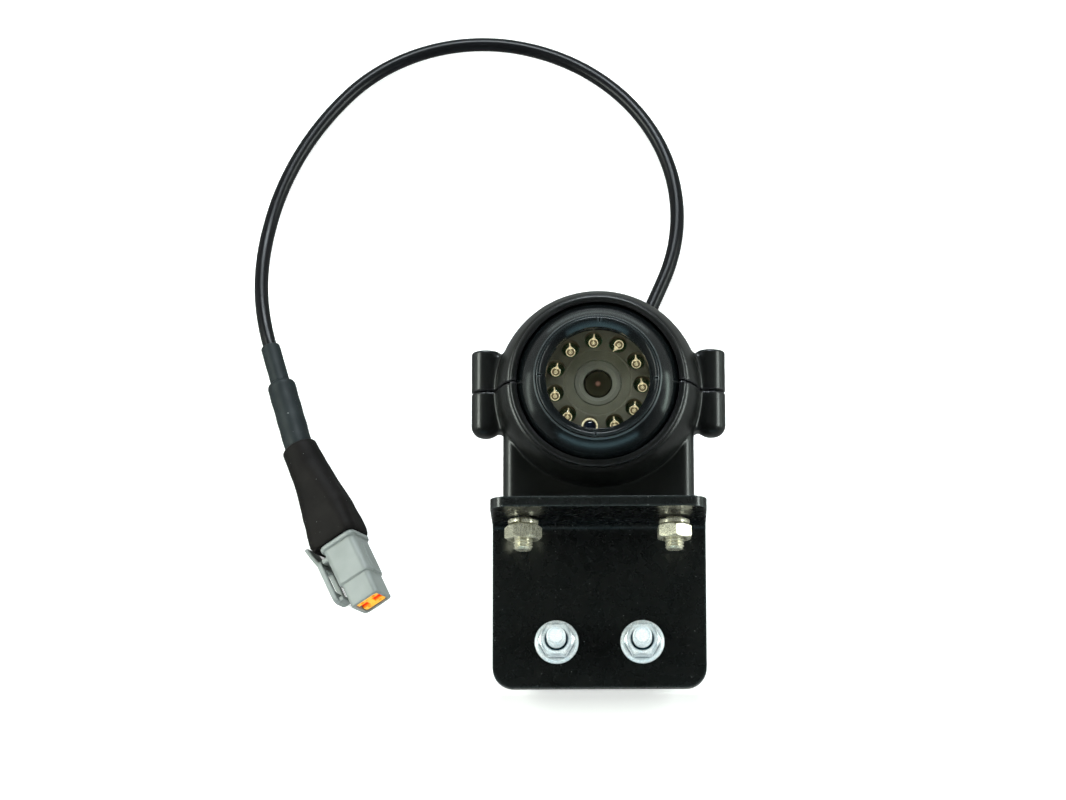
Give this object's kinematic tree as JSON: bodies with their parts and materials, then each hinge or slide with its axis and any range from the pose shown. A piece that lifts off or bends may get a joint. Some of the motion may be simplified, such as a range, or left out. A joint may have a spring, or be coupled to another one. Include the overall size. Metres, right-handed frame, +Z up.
{
  "type": "rear-view ball camera",
  "caption": "Rear-view camera in a ball held by a split clamp on a bent steel bracket, with a looped cable that ends in a sealed plug.",
  "frame": {"origin": "on the bracket plate's flat rear face, midway between the two mounting bolts", "axes": "+X to the right as seen from the lens side, +Y backwards out of the plate's rear face towards the vehicle it's bolted to, +Z up; the lens looks along -Y at rest"},
  "size_m": [0.1511, 0.0979, 0.2311],
  "materials": {
    "powder_coat": "black powder coat, semi-gloss",
    "cast_black": "satin black paint over a casting",
    "zinc": "bright zinc plate",
    "stainless": "stainless steel, turned",
    "black_screw": "black oxide",
    "rubber": "moulded black rubber",
    "window": "clear polished",
    "shroud": "fine-textured dark olive black",
    "board": "green solder mask",
    "led": "clear water-white epoxy",
    "dark_lens": "coated dark glass",
    "barrel": "satin dark grey",
    "chip": "dark glassy",
    "cable": "glossy black jacket",
    "slate_sleeve": "shrunk slate-grey tubing",
    "brown_sleeve": "shrunk brown-black tubing",
    "grey_plastic": "moulded light grey nylon",
    "orange_plastic": "moulded orange",
    "orange_seal": "silicone",
    "nickel": "nickel plate",
    "wire_red": "insulation",
    "wire_black": "insulation",
    "wire_white": "insulation",
    "wire_yellow": "insulation"
  },
  "bodies": {
    "mount": {"bracket": "powder_coat", "mounting_bolt_left": "zinc", "mounting_bolt_right": "zinc", "flange_nut_left": "zinc", "flange_nut_right": "zinc", "foot_stud_left": "stainless", "foot_stud_right": "stainless", "spring_washer_left": "stainless", "spring_washer_right": "stainless", "hex_nut_left": "stainless", "hex_nut_right": "stainless", "base_clamp": "cast_black", "upper_clamp": "cast_black", "clamp_screw_left": "black_screw", "clamp_screw_right": "black_screw"},
    "swivel": {"upper_friction_pad": "rubber", "lower_friction_pad": "rubber"},
    "camera": {"front_shell": "cast_black", "rear_shell": "cast_black", "shell_seal": "rubber", "bezel_ring": "cast_black", "window_glass": "window", "window_seal": "rubber", "led_shroud": "shroud", "led_board": "board", "ir_led_01": "led", "ir_led_02": "led", "ir_led_03": "led", "ir_led_04": "led", "ir_led_05": "led", "ir_led_06": "led", "ir_led_07": "led", "ir_led_08": "led", "ir_led_09": "led", "ir_led_10": "led", "photocell": "dark_lens", "lens_barrel": "barrel", "lens_glass": "dark_lens", "lens_holder": "barrel", "image_sensor": "chip", "sensor_board": "board", "cable_gland": "rubber", "cable_tail": "cable"},
    "cable": {"cable_loop": "cable"},
    "plug": {"thin_sleeve": "slate_sleeve", "middle_sleeve": "slate_sleeve", "shrink_boot": "brown_sleeve", "connector_housing": "grey_plastic", "rear_wire_seal": "orange_seal", "contact_1": "nickel", "contact_2": "nickel", "contact_3": "nickel", "contact_4": "nickel", "wire_1": "wire_red", "wire_2": "wire_black", "wire_3": "wire_white", "wire_4": "wire_yellow"},
    "latch": {"connector_latch": "grey_plastic"},
    "wedge": {"wedge_lock": "orange_plastic"}
  },
  "joints": [
    {"name": "camera_pan", "type": "hinge", "parent": "mount", "child": "swivel", "pos_m": [0, -0.01355, 0.07635], "axis": [0, 0, 1], "range_deg": [-25, 25]},
    {"name": "camera_tilt", "type": "hinge", "parent": "swivel", "child": "camera", "pos_m": [0, -0.01355, 0.07635], "axis": [1, 0, 0], "range_deg": [-25, 25]},
    {"name": "cable_swing", "type": "hinge", "parent": "camera", "child": "cable", "pos_m": [0, 0.026, 0.07635], "axis": [0, 1, 0], "range_deg": [-10, 35]},
    {"name": "connector_twist", "type": "hinge", "parent": "cable", "child": "plug", "pos_m": [-0.1056, 0.02605, 0.10208], "axis": [0.2756, -0.226, -0.9343], "range_deg": [-45, 45]},
    {"name": "latch_press", "type": "hinge", "parent": "plug", "child": "latch", "pos_m": [-0.08562, 0.01188, 0.02774], "axis": [0.4067, 0.913, -0.032], "range_deg": [0, 6]},
    {"name": "wedge_slide", "type": "slide", "parent": "plug", "child": "wedge", "axis": [0.4115, -0.2143, -0.8859], "range_m": [0, 0.006]}
  ]
}
